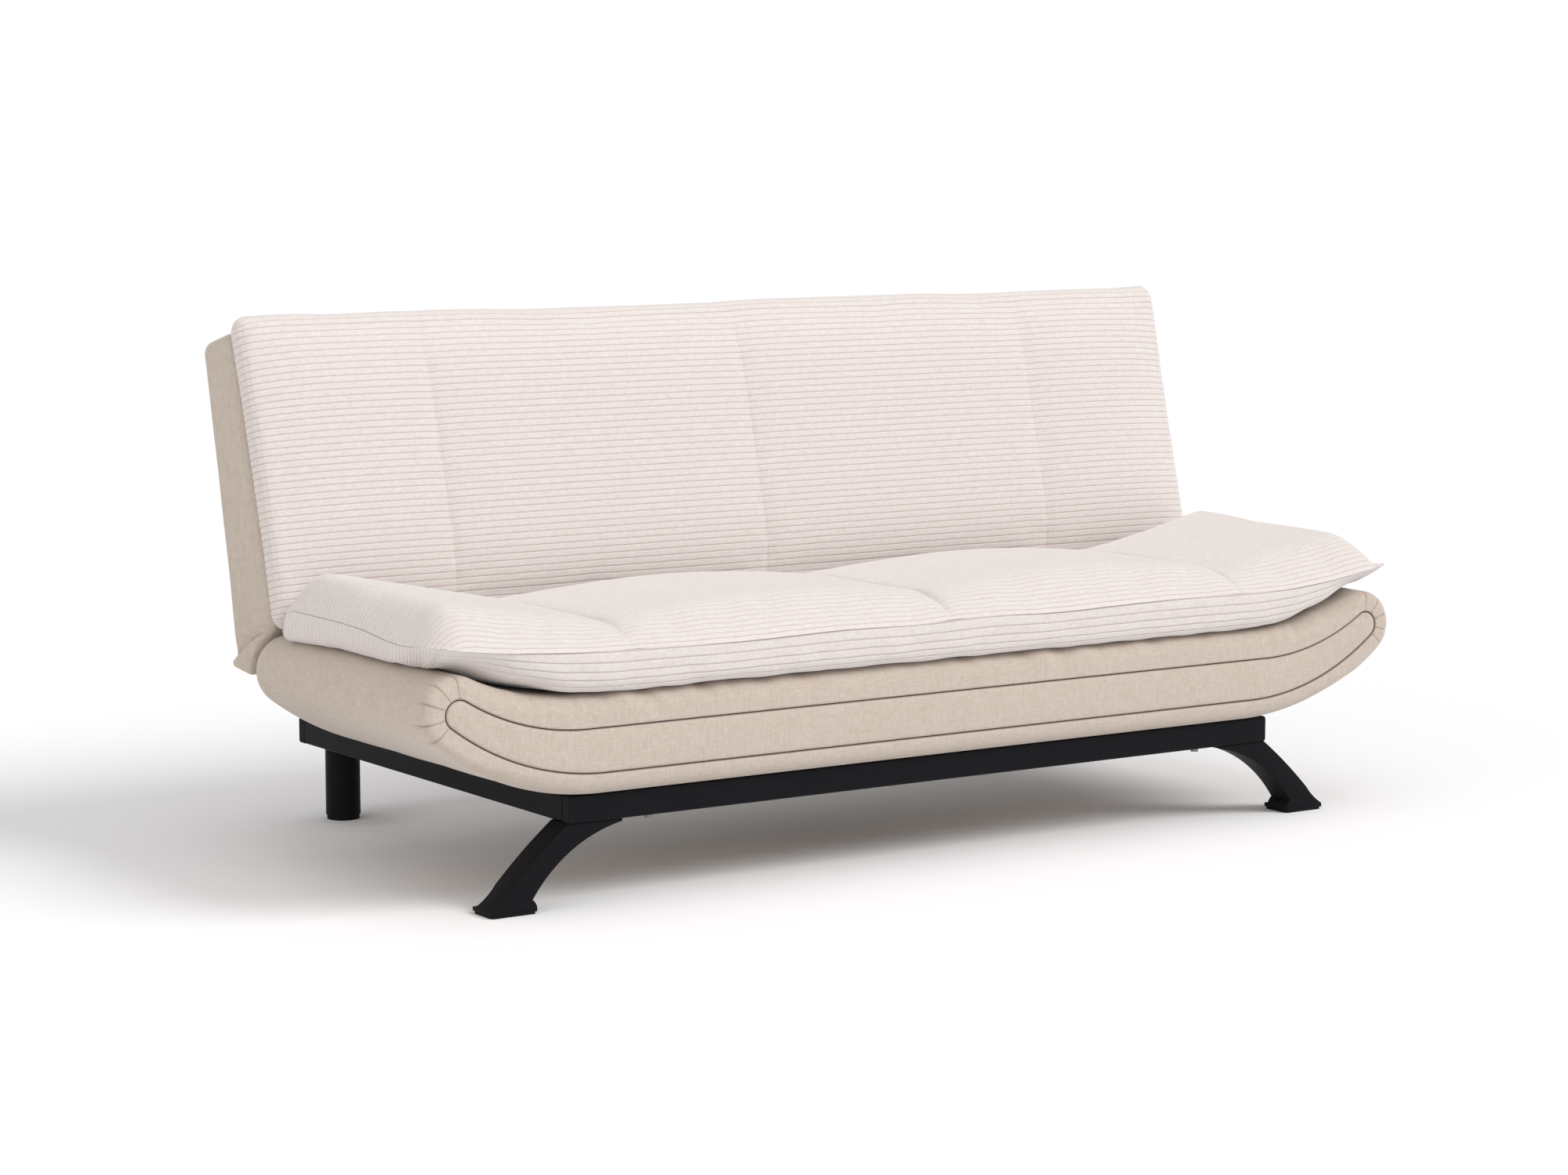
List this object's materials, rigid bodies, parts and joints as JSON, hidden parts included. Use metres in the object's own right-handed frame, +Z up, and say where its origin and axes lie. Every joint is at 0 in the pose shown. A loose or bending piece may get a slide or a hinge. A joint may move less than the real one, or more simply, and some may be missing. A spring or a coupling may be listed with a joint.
{
  "type": "fold-down sofa bed",
  "caption": "Armless sofa bed with upswept seat ends on a steel base. Its cushioned back leans upright and folds down flat behind the seat on ratchet hinges.",
  "frame": {"origin": "centre of the bounding box, on the floor", "axes": "+X to the right along the sofa's length as seen by a person facing it, front towards -Y, +Z up"},
  "size_m": [1.9598, 0.99, 0.9113],
  "materials": {
    "corduroy": "wide-wale corduroy, off-white",
    "beige_weave": "linen-like weave, beige",
    "black_powder_coat": "satin powder coat",
    "black_plastic": "matt moulded",
    "zinc_steel": "zinc plated",
    "pine": "planed",
    "plywood": "sawn"
  },
  "bodies": {
    "base": {"base_centre_rail": "black_powder_coat", "base_cross_rail": "black_powder_coat", "base_front_rail": "black_powder_coat", "base_rear_rail": "black_powder_coat", "corner_plates": "black_powder_coat", "left_base_side_rail": "black_powder_coat", "left_front_leg": "black_powder_coat", "left_front_pad": "black_plastic", "left_hinge_pin": "zinc_steel", "left_hinge_seat_plate": "zinc_steel", "left_pawl_pin": "zinc_steel", "left_rear_glide": "black_plastic", "left_rear_leg": "black_powder_coat", "left_seat_side_beam": "pine", "left_wing_bearer": "pine", "left_wing_formers": "plywood", "leg_bolts": "zinc_steel", "mattress_fold": "corduroy", "rail_end_caps": "black_plastic", "right_base_side_rail": "black_powder_coat", "right_front_leg": "black_powder_coat", "right_front_pad": "black_plastic", "right_hinge_pin": "zinc_steel", "right_hinge_seat_plate": "zinc_steel", "right_pawl_pin": "zinc_steel", "right_rear_glide": "black_plastic", "right_rear_leg": "black_powder_coat", "right_seat_side_beam": "pine", "right_wing_bearer": "pine", "right_wing_formers": "plywood", "seat_bolster": "beige_weave", "seat_bolts": "zinc_steel", "seat_border": "beige_weave", "seat_facing": "beige_weave", "seat_front_beam": "pine", "seat_hinge_bolts": "zinc_steel", "seat_mattress": "corduroy", "seat_pillow_top": "corduroy", "seat_rear_beam": "pine", "seat_slats": "pine"},
    "backrest": {"back_bottom_beam": "pine", "back_hinge_bolts": "zinc_steel", "back_lip": "beige_weave", "back_rear_cover": "beige_weave", "back_shell": "beige_weave", "back_slats": "pine", "back_top_beam": "pine", "back_topper": "corduroy", "left_back_stile": "pine", "left_hinge_back_plate": "zinc_steel", "right_back_stile": "pine", "right_hinge_back_plate": "zinc_steel"},
    "left_pawl": {"left_pawl": "zinc_steel"},
    "right_pawl": {"right_pawl": "zinc_steel"}
  },
  "joints": [
    {"name": "back_fold", "type": "hinge", "parent": "base", "child": "backrest", "pos_m": [0, 0.15, 0.323], "axis": [1, 0, 0], "range_deg": [-75, 6], "deforming": ["mattress_fold"]},
    {"name": "left_pawl_swing", "type": "hinge", "parent": "base", "child": "left_pawl", "pos_m": [-0.8825, 0.104, 0.3], "axis": [1, 0, 0], "range_deg": [0, 12], "stiffness_Nm_per_rad": 0.05, "springref_deg": -28.65},
    {"name": "right_pawl_swing", "type": "hinge", "parent": "base", "child": "right_pawl", "pos_m": [0.8825, 0.104, 0.3], "axis": [1, 0, 0], "range_deg": [0, 12], "stiffness_Nm_per_rad": 0.05, "springref_deg": -28.65}
  ]
}
